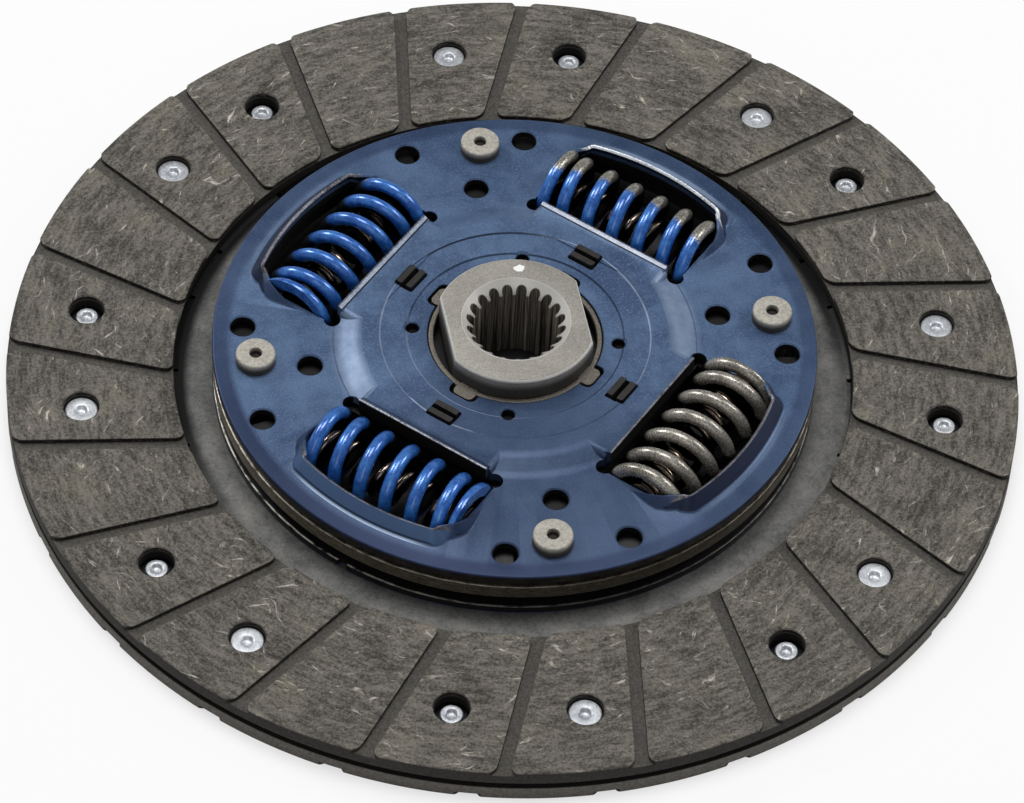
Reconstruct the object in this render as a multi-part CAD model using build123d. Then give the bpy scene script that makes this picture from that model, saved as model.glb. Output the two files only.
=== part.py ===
from build123d import *
from math import asin, atan2, ceil, cos, degrees, hypot, pi, sin
import os

os.makedirs("parts", exist_ok=True)

# A dry clutch disc with a torsion damper, lying on its rear lining.
# Millimetres and degrees. The hub axis is Z, and z = 0 is the rear friction face.
# Angles run anticlockwise from +X, seen from the front (from +Z).

# Friction linings
lining_width = 35.25
lining_clearance = 8.25
lining_thickness = 3.5
groove_count = 24
groove_width = 1.7
groove_depth = 1.6
groove_lead = 4.7
groove_skew = 5.5
rear_groove_lead = 8.4
block_corner = 2.2

# Cushion disc: a thin spring steel ring whose petals hold the linings apart
cushion_sheet = 0.8
cushion_gap = 1.6
cushion_clearance = 1.0
ear_setback = 4.0
petal_reach = 3.5
petal_slot = 1.2
petal_ramp = 3.0

# Riveting of the linings: every second rivet is put in from the other side
rivet_inset = 19.9
rivet_groups = 8
front_rivet_angle = 88.0
rivet_pair_angle = 16.8
rivet_head_radius = 3.45
rivet_head_height = 1.1
rivet_head_sink = 1.4
rivet_head_clearance = 0.35
rivet_shank_radius = 2.0
rivet_tail_radius = 2.4
rivet_tail_height = 1.6

# Hub, with a splined bore for the gearbox shaft and a double-D body
hub_radius = 17.2
hub_flat_depth = 2.4
hub_length = 22.7
hub_rear_setback = 0.4
hub_collar_width = 2.8
hub_chamfer = 0.8
spline_teeth = 20
spline_minor_radius = 8.95
spline_depth = 1.55
spline_space_root = 1.1
spline_space_mouth = 1.9
bore_mouth_width = 1.0

# Hub flange, which carries the springs between the two plates
flange_thickness = 3.4

# Torsion springs: an outer spring with a thin one inside it
spring_gap = 3.25
outer_coil_diameter = 17.5
outer_wire = 3.5
outer_pitch = 6.1
outer_steps = 12
outer_sides = 8
nest_clearance = 0.45
inner_wire = 1.9
inner_pitch = 4.7
inner_steps = 9
inner_sides = 6
spring_end_clearance = 0.2
closed_turn_gap = 0.15
ground_share = 0.2

# Spring windows, one in each quarter; each gap is measured from the outer spring's side
window_count = 4
window_angle = 45.0
window_length = 38.0
window_inner_gap = 2.65
window_outer_gap = 3.25
flange_inner_gap = 0.65
flange_outer_gap = 4.05
window_corner = 1.2
relief_radius = 1.8
outer_lip_land = 2.0
outer_lip_height = 3.0
outer_lip_lean = 2.2
outer_lip_sheet = 1.7
outer_lip_setback = 1.16
inner_lip_width = 1.4
inner_lip_setback = 3.0
inner_lip_rise = 0.5
rear_lip_height = 2.3
rear_lip_lean = 1.7
rear_lip_sheet = 1.5

# Damper plates, pressed from sheet
plate_margin = 5.0
retainer_sheet = 2.0
drive_sheet = 1.8
edge_break = 0.4
crown_height = 2.0
crown_run = 4.3
crown_step_insets = (9.9, 4.2)
crown_step = 0.3
step_run = 0.3

# Holes of the two plates, and the half-round mark in the rear plate's edge
outer_hole_inset = 6.35
outer_hole_spread = 13.0
inner_hole_inset = 1.05
plate_hole_diameter = 5.4
small_hole_inset = 3.25
small_hole_angle = -15.0
small_hole_diameter = 2.9
edge_notch_radius = 1.2
edge_notch_angle = 225.4

# Stop pins, which hold the plates apart and end the twist in the flange's slots
pin_count = 4
pin_inset = 8.9
pin_angle = -3.0
pin_body_radius = 3.9
pin_neck_radius = 2.75
pin_head_radius = 4.2
pin_head_height = 2.8
pin_rear_height = 1.6
pin_dimple_radius = 1.1
pin_dimple_depth = 1.6
twist_forward = 4.0
twist_back = 10.0
slot_clearance = 0.3
slot_end_clearance = 0.15

# Rivets from the cushion disc to the drive plate
carrier_rivet_radius = 2.0
carrier_head_radius = 3.2
carrier_head_height = 1.0

# Friction stack in front of the flange
running_clearance = 0.1
bush_wall = 1.1
bush_stand = 0.3
bush_clearance = 0.2
front_collar_width = 7.0
lug_length = 1.8
lug_width = 4.8
lug_clearance = 0.8
ring_clearance = 0.5
pressure_ring_width = 6.7
pressure_ring_height = 1.1
tab_inset = 2.0
tab_depth = 3.8
tab_width = 5.6
tab_groove = 1.1
tab_stand = 0.9
tab_slot_clearance = 0.4
washer_sheet = 0.7
front_washer_gap = 0.6
front_washer_width = 2.7
front_washer_cone = 1.4
crown_clearance = 1.0

# Friction stack behind the flange
rear_bush_wall = 2.1
rear_bush_depth = 3.0
rear_collar_width = 6.2
rear_collar_height = 1.4
friction_ring_gap = 1.2
friction_ring_width = 11.8
friction_ring_height = 1.1
support_sheet = 0.7
support_gap = 0.9
support_tab_width = 5.0
support_tab_depth = 1.6
rear_washer_gap = 0.9
rear_washer_cone = 0.6

# Radii, worked out from the hub to the rim
spline_major_radius = spline_minor_radius + spline_depth
bore_mouth_radius = spline_major_radius + bore_mouth_width
hub_collar_radius = hub_radius + hub_collar_width
bush_bore_radius = hub_radius + running_clearance
bush_rim_radius = bush_bore_radius + bush_wall
plate_bore_radius = bush_rim_radius + bush_clearance
lug_reach = bush_rim_radius + lug_length
front_collar_radius = bush_bore_radius + front_collar_width
pressure_ring_inner = front_collar_radius + ring_clearance
pressure_ring_outer = pressure_ring_inner + pressure_ring_width
tab_radius = pressure_ring_inner + tab_inset
front_washer_inner = tab_radius + tab_depth / 2 + front_washer_gap
front_washer_outer = front_washer_inner + front_washer_width
crown_inner_radius = front_washer_outer + crown_clearance
crown_outer_radius = crown_inner_radius + crown_run
crown_step_radii = [plate_bore_radius + inset for inset in crown_step_insets]
rear_seat_radius = bush_bore_radius + rear_bush_wall
rear_collar_radius = bush_bore_radius + rear_collar_width
friction_ring_inner = hub_collar_radius + friction_ring_gap
friction_ring_outer = friction_ring_inner + friction_ring_width
support_inner = rear_collar_radius + support_gap
support_tab_inner = friction_ring_outer - support_tab_depth
rear_washer_outer = support_tab_inner - rear_washer_gap
spring_inner_side = friction_ring_outer + spring_gap
spring_centre_radius = spring_inner_side + outer_coil_diameter / 2
spring_outer_side = spring_inner_side + outer_coil_diameter
inner_coil_diameter = outer_coil_diameter - 2 * (outer_wire + nest_clearance)
window_inner = spring_inner_side - window_inner_gap
window_outer_radius = spring_outer_side + window_outer_gap
flange_window_inner = spring_inner_side - flange_inner_gap
flange_window_outer_radius = spring_outer_side + flange_outer_gap
outer_lip_crease = window_outer_radius + outer_lip_land
plate_radius = outer_lip_crease + plate_margin
inner_hole_radius = spring_centre_radius - inner_hole_inset
small_hole_radius = plate_bore_radius + small_hole_inset
pin_circle_radius = plate_radius - pin_inset
outer_hole_radius = plate_radius - outer_hole_inset
cushion_inner_radius = outer_lip_crease + cushion_clearance
lining_inner_radius = plate_radius + lining_clearance
lining_outer_radius = lining_inner_radius + lining_width
rivet_pitch_radius = lining_inner_radius + rivet_inset
rivet_hole_radius = rivet_head_radius + rivet_head_clearance

# Heights, worked out from the rear friction face up
cushion_middle = lining_thickness + cushion_gap / 2
carrier_low = cushion_middle - cushion_sheet / 2
carrier_top = carrier_low + cushion_sheet
front_lining_low = lining_thickness + cushion_gap
front_face = front_lining_low + lining_thickness
drive_low = carrier_top
drive_top = drive_low + drive_sheet
support_low = drive_top + rear_washer_cone + washer_sheet
friction_ring_low = support_low + support_sheet
flange_low = friction_ring_low + friction_ring_height + running_clearance
flange_top = flange_low + flange_thickness
spring_height = (flange_low + flange_top) / 2
pressure_ring_low = flange_top + running_clearance
front_washer_low = pressure_ring_low + pressure_ring_height
crown_ceiling = front_washer_low + front_washer_cone + washer_sheet
crown_top = crown_ceiling + retainer_sheet
retainer_top = crown_top - crown_height
retainer_low = retainer_top - retainer_sheet
centre_top = crown_top - crown_step * len(crown_step_radii)
rear_collar_top = drive_top + rear_collar_height
hub_collar_low = rear_collar_top + running_clearance
hub_low = hub_rear_setback
hub_top = hub_low + hub_length

# Angles about the hub axis
quarters = [90 * n for n in range(4)]
windows = [window_angle + 360 / window_count * n for n in range(window_count)]
pins = [pin_angle + 360 / pin_count * n for n in range(pin_count)]
rear_rivet_angle = front_rivet_angle - rivet_pair_angle
front_rivets = [front_rivet_angle + 360 / rivet_groups * n for n in range(rivet_groups)]
rear_rivets = [rear_rivet_angle + 360 / rivet_groups * n for n in range(rivet_groups)]
carrier_rivets = [a + side * outer_hole_spread for a in quarters for side in (-1, 1)]


def disc(radius, low, high):
    """A round disc about Z between two heights."""
    return extrude(Pos(0, 0, low) * Circle(radius), high - low)


def washer(inner, outer, low, high):
    """A flat ring about Z between two heights."""
    return extrude(Pos(0, 0, low) * (Circle(outer) - Circle(inner)), high - low)


def block(inner, outer, width, low, high):
    """A box along +X from one radius to another, centred on the X axis."""
    middle = Pos((inner + outer) / 2, 0, low)
    return extrude(middle * Rectangle(outer - inner, width), high - low)


def turned(points, start=0.0, arc=360.0):
    """A profile of (radius, height) points turned about Z from an angle on."""
    profile = make_face(Plane.XZ * Polyline(*points, close=True))
    return Rot(0, 0, start) * revolve(profile, Axis.Z, arc)


def placed(shape, radius, angle):
    """A shape moved out along +X and turned to its angle about Z."""
    return Rot(0, 0, angle) * Pos(radius, 0, 0) * shape


def around(shape, angles, radius=0.0):
    """Copies of a shape at each angle about Z, moved out to a radius."""
    return [placed(shape, radius, angle) for angle in angles]


def hole(radius, low, high):
    """A cutter for a round hole that runs past both faces."""
    return disc(radius, low - 1, high + 1)


def window_outline(inner, outer_radius):
    """A window's outline: straight inner edge, parallel ends, arc outside."""
    straight = Pos((inner + outer_radius) / 2, 0) * Rectangle(outer_radius - inner, window_length)
    outline = straight & Circle(outer_radius)
    corners = outline.vertices().sort_by(Axis.X)[-2:]
    return fillet(corners, window_corner)


def plate_window(low, high):
    """Cutter for a plate's window, with a round relief notch at each inner corner."""
    outline = window_outline(window_inner, window_outer_radius)
    for side in (-1, 1):
        corner = Pos(window_inner + relief_radius / 2, side * (window_length - relief_radius / 2) / 2)
        outline += corner * Circle(relief_radius)
    return extrude(Pos(0, 0, low - 1) * outline, high - low + 2)


def lip_profile(face, other_face, height, lean, sheet):
    """The outer lip's section: the sheet bends at its crease and leans in over the spring."""
    up = 1 if face > other_face else -1
    length = hypot(lean, height)
    tip = (outer_lip_crease - lean, face + up * height)
    under = (tip[0] - sheet * height / length, tip[1] - up * sheet * lean / length)
    reach = window_outer_radius - under[0]
    foot = (window_outer_radius, under[1] - up * reach * height / lean)
    inside = (window_outer_radius, other_face)
    if (foot[1] - other_face) * up < 0:
        foot = (window_outer_radius, other_face + up * 0.1)
    return [(outer_lip_crease, face), tip, under, foot, inside, (outer_lip_crease, other_face)]


def outer_lips(face, other_face, height, lean, sheet):
    """The curved lip along each window's outer edge."""
    profile = lip_profile(face, other_face, height, lean, sheet)
    half_angle = degrees(asin((window_length / 2 - outer_lip_setback) / outer_lip_crease))
    lip = turned(profile, -half_angle, 2 * half_angle)
    return around(lip, windows)


def inner_lips(points):
    """The straight lip along each window's inner edge."""
    profile = make_face(Plane.XZ * Polyline(*points, close=True))
    lip = extrude(profile, window_length / 2 - inner_lip_setback, both=True)
    return around(lip, windows)


def lining(fixing, passing, inner_angle, skew):
    """A lining with its back at z = 0: round-cornered friction blocks on a thin ring."""
    outer_angle = inner_angle - skew
    near = Vector(lining_inner_radius, 0).rotate(Axis.Z, inner_angle)
    far = Vector(lining_outer_radius, 0).rotate(Axis.Z, outer_angle)
    along = far - near
    turn = degrees(atan2(along.Y, along.X))
    middle = (near + far) / 2
    bar = Rectangle(along.length + 4 * groove_width, groove_width)
    bar = Pos(middle.X, middle.Y) * Rot(0, 0, turn) * bar
    blocks = Rot(0, 0, outer_angle) * Circle(lining_outer_radius)
    blocks -= Rot(0, 0, inner_angle) * Circle(lining_inner_radius)
    blocks -= around(bar, [360 / groove_count * n for n in range(groove_count)])
    blocks = fillet(blocks.vertices(), block_corner)
    floor = lining_thickness - groove_depth
    body = washer(lining_inner_radius, lining_outer_radius, 0, floor)
    body += extrude(Pos(0, 0, floor) * blocks, groove_depth)
    seat = lining_thickness - rivet_head_sink - rivet_head_height
    fixing_hole = hole(rivet_shank_radius, 0, lining_thickness)
    fixing_hole += disc(rivet_hole_radius, seat, lining_thickness + 1)
    body -= around(fixing_hole, fixing, rivet_pitch_radius)
    body -= around(hole(rivet_hole_radius, 0, lining_thickness), passing, rivet_pitch_radius)
    return body


def petal(level, half_angle):
    """One petal of the cushion disc, ramping from the ring to its own level."""
    low = cushion_middle + level * (cushion_gap - cushion_sheet) / 2 - cushion_sheet / 2
    start = lining_inner_radius - petal_ramp / 3
    root = start - 1
    pad = start + petal_ramp
    outer = lining_outer_radius - petal_reach
    profile = [
        (root, carrier_low),
        (start, carrier_low),
        (pad, low),
        (outer, low),
        (outer, low + cushion_sheet),
        (pad, low + cushion_sheet),
        (start, carrier_top),
        (root, carrier_top),
    ]
    return turned(profile, -half_angle, 2 * half_angle)


def make_cushion_disc():
    """Ring, four riveting ears and 24 petals: front pads, rear pads and free ones between."""
    ring = washer(cushion_inner_radius, lining_inner_radius - petal_ramp / 3, carrier_low, carrier_top)
    ears = washer(pin_circle_radius - pin_head_radius, cushion_inner_radius, carrier_low, carrier_top)
    between = window_length + 2 * ear_setback
    ears -= around(block(window_inner, plate_radius, between, carrier_low - 1, carrier_top + 1), windows)
    body = ring + ears
    group = 360 / rivet_groups
    slot = degrees(petal_slot / rivet_pitch_radius)
    half_pad = (rivet_pair_angle - slot) / 2
    half_free = (group - 2 * rivet_pair_angle - slot) / 2
    first_free = rear_rivet_angle - half_pad - slot - half_free
    free = [first_free + group * n for n in range(rivet_groups)]
    body += around(petal(1, half_pad), front_rivets)
    body += around(petal(-1, half_pad), rear_rivets)
    body += around(petal(0, half_free), free)
    rivet_hole = hole(rivet_shank_radius, 0, front_face)
    body -= around(rivet_hole, front_rivets + rear_rivets, rivet_pitch_radius)
    body -= around(hole(pin_neck_radius, carrier_low, carrier_top), pins, pin_circle_radius)
    carrier_hole = hole(carrier_rivet_radius, carrier_low, carrier_top)
    body -= around(carrier_hole, carrier_rivets, outer_hole_radius)
    return body


def lining_rivet(front):
    """A lining rivet: sunk head, shank through lining and petal, and upset tail."""
    pad = (cushion_gap - cushion_sheet) / 2
    head_top = front_face - rivet_head_sink
    head_low = head_top - rivet_head_height
    tail_top = cushion_middle + pad - cushion_sheet / 2
    tail_low = tail_top - rivet_tail_height
    profile = [
        (0, head_top),
        (rivet_head_radius, head_top),
        (rivet_head_radius, head_low),
        (rivet_shank_radius, head_low),
        (rivet_shank_radius, tail_top),
        (rivet_tail_radius, tail_top),
        (rivet_tail_radius, tail_low),
        (0, tail_low),
    ]
    if not front:
        profile = [(r, front_face - z) for r, z in profile]
    return turned(profile)


def make_retainer_plate():
    """The front plate: crowned middle, lipped windows, holes and slots."""
    top = [(plate_bore_radius, centre_top)]
    height = centre_top
    for radius in reversed(crown_step_radii):
        top.append((radius, height))
        height += crown_step
        top.append((radius + step_run, height))
    top += [(crown_inner_radius, crown_top), (crown_outer_radius, retainer_top)]
    under = [(max(r - crown_height / 3, plate_bore_radius), z - retainer_sheet) for r, z in top]
    rim = [
        (plate_radius - edge_break, retainer_top),
        (plate_radius, retainer_top - edge_break),
        (plate_radius, retainer_low),
    ]
    body = turned(top + rim + under[::-1])
    low, high = retainer_low - 2, crown_top
    lip_edge = window_inner + inner_lip_width
    body -= around(plate_window(low, high), windows)
    body += outer_lips(retainer_top, retainer_low, outer_lip_height, outer_lip_lean, outer_lip_sheet)
    lip_low = retainer_top - retainer_sheet / 2
    lip = [
        (window_inner - inner_lip_width, lip_low),
        (window_inner - inner_lip_width / 2, crown_top - inner_lip_rise),
        (window_inner, crown_top),
        (lip_edge, crown_top + inner_lip_rise),
        (lip_edge, lip_low),
    ]
    body += inner_lips(lip)
    body -= around(hole(plate_hole_diameter / 2, low, high), carrier_rivets, outer_hole_radius)
    body -= around(hole(plate_hole_diameter / 2, low, high), quarters, inner_hole_radius)
    body -= around(hole(pin_neck_radius, low, high), pins, pin_circle_radius)
    small = [small_hole_angle + a for a in quarters]
    body -= around(hole(small_hole_diameter / 2, low, high), small, small_hole_radius)
    notch_reach = lug_reach + lug_clearance
    notch = block(plate_bore_radius - 1, notch_reach, lug_width + 2 * lug_clearance, low, high + 1)
    body -= around(notch, windows)
    slot_inner = tab_radius - tab_depth / 2 - tab_slot_clearance
    slot_outer = tab_radius + tab_depth / 2 + tab_slot_clearance
    slot = block(slot_inner, slot_outer, tab_width + 2 * tab_slot_clearance, low, high + 1)
    body -= around(slot, windows)
    return body


def make_drive_plate():
    """The rear plate, flat and riveted to the cushion disc, with lips towards the rear."""
    body = washer(rear_seat_radius, plate_radius, drive_low, drive_top)
    body -= around(plate_window(drive_low, drive_top), windows)
    body += outer_lips(drive_low, drive_top, rear_lip_height, rear_lip_lean, rear_lip_sheet)
    lip_edge = window_inner + inner_lip_width
    lip = [
        (window_inner - inner_lip_width, drive_low + drive_sheet / 2),
        (window_inner - inner_lip_width / 2, drive_low),
        (window_inner, drive_low - inner_lip_rise),
        (lip_edge, drive_low - 2 * inner_lip_rise),
        (lip_edge, drive_low + drive_sheet / 2),
    ]
    body += inner_lips(lip)
    body -= around(hole(carrier_rivet_radius, drive_low, drive_top), carrier_rivets, outer_hole_radius)
    body -= around(hole(plate_hole_diameter / 2, drive_low, drive_top), quarters, inner_hole_radius)
    body -= around(hole(pin_neck_radius, drive_low, drive_top), pins, pin_circle_radius)
    tab_inner = support_tab_inner - running_clearance
    tab_outer = friction_ring_outer + running_clearance
    tab_slot_width = support_tab_width + 2 * running_clearance
    tab_slot = block(tab_inner, tab_outer, tab_slot_width, drive_low - 1, drive_top + 1)
    body -= around(tab_slot, quarters)
    body -= placed(hole(edge_notch_radius, drive_low, drive_top), plate_radius, edge_notch_angle)
    return body


def stop_pin():
    """A stepped pin: front head with a dimple, spacer body and riveted rear end."""
    head_top = retainer_top + pin_head_height
    rear = carrier_low - pin_rear_height
    profile = [
        (0, head_top - pin_dimple_depth),
        (pin_dimple_radius, head_top),
        (pin_head_radius - edge_break, head_top),
        (pin_head_radius, head_top - edge_break),
        (pin_head_radius, retainer_top),
        (pin_neck_radius, retainer_top),
        (pin_neck_radius, retainer_low),
        (pin_body_radius, retainer_low),
        (pin_body_radius, drive_top),
        (pin_neck_radius, drive_top),
        (pin_neck_radius, carrier_low),
        (pin_head_radius, carrier_low),
        (pin_head_radius - edge_break, rear),
        (0, rear),
    ]
    return turned(profile)


def double_d():
    """The hub body's outline: a circle with two flats."""
    return Circle(hub_radius) & Rectangle(2 * (hub_radius - hub_flat_depth), 2 * hub_radius)


def spline_space():
    """One space between two spline teeth, wider at its mouth."""
    inside = spline_minor_radius - 1
    widen = (spline_space_mouth - spline_space_root) / spline_depth
    mouth = spline_space_mouth + widen
    points = [
        (inside, -mouth / 2),
        (spline_major_radius, -spline_space_root / 2),
        (spline_major_radius, spline_space_root / 2),
        (inside, mouth / 2),
    ]
    return make_face(Polyline(*points, close=True))


def make_hub():
    """The hub: double-D front body, collar under the flange, round rear, splined bore."""
    front = extrude(Pos(0, 0, flange_low) * double_d(), hub_top - flange_low)
    front = chamfer(front.faces().sort_by(Axis.Z)[-1].edges(), hub_chamfer)
    rear = disc(hub_radius, hub_low, flange_low)
    rear = chamfer(rear.faces().sort_by(Axis.Z)[0].edges(), hub_chamfer)
    collar = disc(hub_collar_radius, hub_collar_low, flange_low)
    body = front + rear + collar
    spline = Circle(spline_minor_radius)
    for n in range(spline_teeth):
        spline += Rot(0, 0, 360 / spline_teeth * n) * spline_space()
    body -= extrude(Pos(0, 0, hub_low - 1) * spline, hub_length + 2)
    mouth_depth = bore_mouth_radius - spline_major_radius
    reach = bore_mouth_radius - spline_minor_radius
    for face, inward in ((hub_top, -1), (hub_low, 1)):
        cone = [
            (0, face - inward * mouth_depth),
            (bore_mouth_radius + mouth_depth, face - inward * mouth_depth),
            (spline_minor_radius, face + inward * reach),
            (0, face + inward * reach),
        ]
        body -= turned(cone)
    return body


def make_hub_flange():
    """The flange plate staked on the hub: four spring windows and four stop slots."""
    body = disc(plate_radius, flange_low, flange_top)
    body -= extrude(Pos(0, 0, flange_low - 1) * double_d(), flange_thickness + 2)
    outline = window_outline(flange_window_inner, flange_window_outer_radius)
    window = extrude(Pos(0, 0, flange_low - 1) * outline, flange_thickness + 2)
    body -= around(window, windows)
    pin_half_angle = degrees(asin(pin_body_radius / pin_circle_radius))
    end_clearance = degrees(slot_end_clearance / pin_circle_radius)
    half_travel = (twist_forward + twist_back) / 2
    offset = pin_angle + (twist_back - twist_forward) / 2
    half_slot = half_travel + pin_half_angle + end_clearance
    inner = pin_circle_radius - pin_body_radius - slot_clearance
    outer = pin_circle_radius + pin_body_radius + slot_clearance
    profile = [
        (inner, flange_low - 1),
        (outer, flange_low - 1),
        (outer, flange_top + 1),
        (inner, flange_top + 1),
    ]
    slot = turned(profile, -half_slot, 2 * half_slot)
    body -= around(slot, [offset + 360 / pin_count * n for n in range(pin_count)])
    return body


def faceted_tube(rings):
    """A closed solid of flat facets between rings of points."""
    facets = [Face(Wire.make_polygon(ring)) for ring in (rings[0], rings[-1])]
    for near, far in zip(rings, rings[1:]):
        for k in range(len(near)):
            facets.append(Face(Wire.make_polygon([near[k - 1], near[k], far[k]])))
            facets.append(Face(Wire.make_polygon([near[k - 1], far[k], far[k - 1]])))
    return Solid(Shell(facets))


def coil_spring(diameter, wire, pitch, steps, sides, hand):
    """A compression spring along Y: closed end turns, ground flat, and open turns between."""
    length = window_length - 2 * spring_end_clearance
    mean_radius = (diameter - wire) / 2
    grind = wire * ground_share
    closed = wire + closed_turn_gap
    open_turns = (length + 2 * grind - 2 * closed) / pitch
    turns = open_turns + 2
    count = ceil(turns * steps)
    corner_radius = wire / 2 / cos(pi / sides)
    rings = []
    for n in range(count + 1):
        turn = turns * n / count
        rise = closed * (min(turn, 1) + max(turn - 1 - open_turns, 0))
        rise += pitch * min(max(turn - 1, 0), open_turns)
        ring = []
        for k in range(sides):
            side = 2 * pi * (k + 0.5) / sides
            reach = mean_radius + corner_radius * cos(side)
            y = rise - grind - length / 2 + corner_radius * sin(side)
            ring.append(Vector(reach, y).rotate(Axis.Y, hand * 360 * turn))
        rings.append(ring)
    ground = faceted_tube(rings) & Box(diameter + wire, length, diameter + wire)
    return Pos(spring_centre_radius, 0, spring_height) * ground


def make_front_bush():
    """The front bearing ring: rim in the plate's bore, four lugs and a friction collar."""
    low = flange_top + running_clearance
    rim_top = centre_top - bush_stand
    collar_top = centre_top - retainer_sheet
    body = washer(bush_bore_radius, bush_rim_radius, low, rim_top)
    body += washer(bush_bore_radius, front_collar_radius, low, collar_top)
    lug = block(bush_bore_radius + bush_wall / 2, lug_reach, lug_width, low, rim_top)
    body += around(lug, windows)
    return body


def make_pressure_ring():
    """The ring that presses on the flange, keyed by four split tabs through the front plate."""
    body = washer(pressure_ring_inner, pressure_ring_outer, pressure_ring_low, front_washer_low)
    tab_top = crown_top - crown_step + tab_stand
    inner = tab_radius - tab_depth / 2
    outer = tab_radius + tab_depth / 2
    tab = block(inner, outer, tab_width, pressure_ring_low, tab_top)
    split_inner = tab_radius - tab_groove / 2
    split_outer = tab_radius + tab_groove / 2
    tab -= block(split_inner, split_outer, tab_width + 1, front_washer_low, tab_top + 1)
    body += around(tab, windows)
    return body


def cone_washer(inner, outer, inner_height, outer_height):
    """A conical spring washer, given by the height of its lower edge inside and outside."""
    profile = [
        (inner, inner_height),
        (outer, outer_height),
        (outer, outer_height + washer_sheet),
        (inner, inner_height + washer_sheet),
    ]
    return turned(profile)


def make_rear_bush():
    """The rear bearing ring, seated in the drive plate's bore round the hub's rear end."""
    barrel = washer(bush_bore_radius, rear_seat_radius, drive_top - rear_bush_depth, drive_top)
    return barrel + washer(bush_bore_radius, rear_collar_radius, drive_top, rear_collar_top)


def make_support_ring():
    """The steel ring behind the friction ring, keyed by four tabs in the drive plate."""
    body = washer(support_inner, friction_ring_outer, support_low, friction_ring_low)
    tab = block(support_tab_inner, friction_ring_outer, support_tab_width, drive_low, friction_ring_low)
    body += around(tab, quarters)
    return body


def carrier_rivet():
    """A rivet from the cushion disc to the drive plate, with a flat head at each end."""
    body = disc(carrier_rivet_radius, carrier_low, drive_top)
    body += disc(carrier_head_radius, drive_top, drive_top + carrier_head_height)
    body += disc(carrier_head_radius, carrier_low - carrier_head_height, carrier_low)
    return body


def copies(solid, angles, radius):
    """Separate copies of one solid round a circle, kept together in one sub-part."""
    return Compound(around(solid, angles, radius))


groove_angle = front_rivet_angle - groove_lead
rear_groove_angle = front_rivet_angle - rear_groove_lead
mirrored_rivets = [[-a for a in angles] for angles in (rear_rivets, front_rivets)]
front_lining = lining(front_rivets, rear_rivets, groove_angle, groove_skew)
rear_lining = lining(*mirrored_rivets, -rear_groove_angle, -groove_skew)
friction_ring_top = flange_low - running_clearance

parts = {}
parts["front_lining"] = Pos(0, 0, front_lining_low) * front_lining
parts["rear_lining"] = Pos(0, 0, lining_thickness) * Rot(180, 0, 0) * rear_lining
parts["cushion_disc"] = make_cushion_disc()
parts["lining_rivets_front"] = copies(lining_rivet(True), front_rivets, rivet_pitch_radius)
parts["lining_rivets_rear"] = copies(lining_rivet(False), rear_rivets, rivet_pitch_radius)
parts["carrier_rivets"] = copies(carrier_rivet(), carrier_rivets, outer_hole_radius)
parts["drive_plate"] = make_drive_plate()
parts["retainer_plate"] = make_retainer_plate()
parts["stop_pins"] = copies(stop_pin(), pins, pin_circle_radius)
parts["hub"] = make_hub()
parts["hub_flange"] = make_hub_flange()
parts["front_bush"] = make_front_bush()
parts["pressure_ring"] = make_pressure_ring()
parts["front_spring_washer"] = cone_washer(
    front_washer_inner, front_washer_outer, front_washer_low, front_washer_low + front_washer_cone
)
parts["rear_bush"] = make_rear_bush()
parts["friction_ring"] = washer(
    friction_ring_inner, friction_ring_outer, friction_ring_low, friction_ring_top
)
parts["support_ring"] = make_support_ring()
parts["rear_spring_washer"] = cone_washer(
    support_inner, rear_washer_outer, drive_top + rear_washer_cone, drive_top
)
outer_coil = coil_spring(outer_coil_diameter, outer_wire, outer_pitch, outer_steps, outer_sides, 1)
inner_coil = coil_spring(inner_coil_diameter, inner_wire, inner_pitch, inner_steps, inner_sides, -1)
for number, angle in enumerate(windows, 1):
    parts[f"outer_spring_{number}"] = Rot(0, 0, angle) * outer_coil
    parts[f"inner_spring_{number}"] = Rot(0, 0, angle) * inner_coil

for name, shape in parts.items():
    export_step(shape, f"parts/{name}.step")
    print(name, len(shape.solids()), round(shape.volume, 1))
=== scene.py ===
import bmesh
import bpy
from math import asin, cos, degrees, pi, radians, sin, sqrt
from mathutils import Matrix, Vector


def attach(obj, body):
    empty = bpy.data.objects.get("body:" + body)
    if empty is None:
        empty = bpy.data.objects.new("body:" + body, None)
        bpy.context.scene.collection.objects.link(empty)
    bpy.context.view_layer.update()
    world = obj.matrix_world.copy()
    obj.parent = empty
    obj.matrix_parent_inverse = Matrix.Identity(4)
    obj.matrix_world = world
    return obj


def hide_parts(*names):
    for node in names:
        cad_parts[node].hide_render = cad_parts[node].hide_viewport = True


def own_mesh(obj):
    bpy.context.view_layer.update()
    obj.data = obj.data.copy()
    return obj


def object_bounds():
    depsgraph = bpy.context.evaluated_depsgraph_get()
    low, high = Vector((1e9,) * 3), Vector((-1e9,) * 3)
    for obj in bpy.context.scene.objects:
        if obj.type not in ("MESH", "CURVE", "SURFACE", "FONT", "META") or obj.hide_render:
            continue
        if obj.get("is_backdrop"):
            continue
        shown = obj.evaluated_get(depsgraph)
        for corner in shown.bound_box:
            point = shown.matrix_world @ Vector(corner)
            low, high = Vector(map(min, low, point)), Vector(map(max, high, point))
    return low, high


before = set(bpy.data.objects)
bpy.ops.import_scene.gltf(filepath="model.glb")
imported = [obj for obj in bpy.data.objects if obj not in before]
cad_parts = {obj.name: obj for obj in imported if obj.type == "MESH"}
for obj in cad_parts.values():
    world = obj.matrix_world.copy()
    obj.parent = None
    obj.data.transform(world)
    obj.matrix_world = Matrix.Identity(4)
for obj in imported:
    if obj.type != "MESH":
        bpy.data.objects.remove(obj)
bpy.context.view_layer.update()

# Every shape is drawn in millimetres and degrees, in the frame of the CAD part, and scaled at the end.
MM = 0.001

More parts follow.
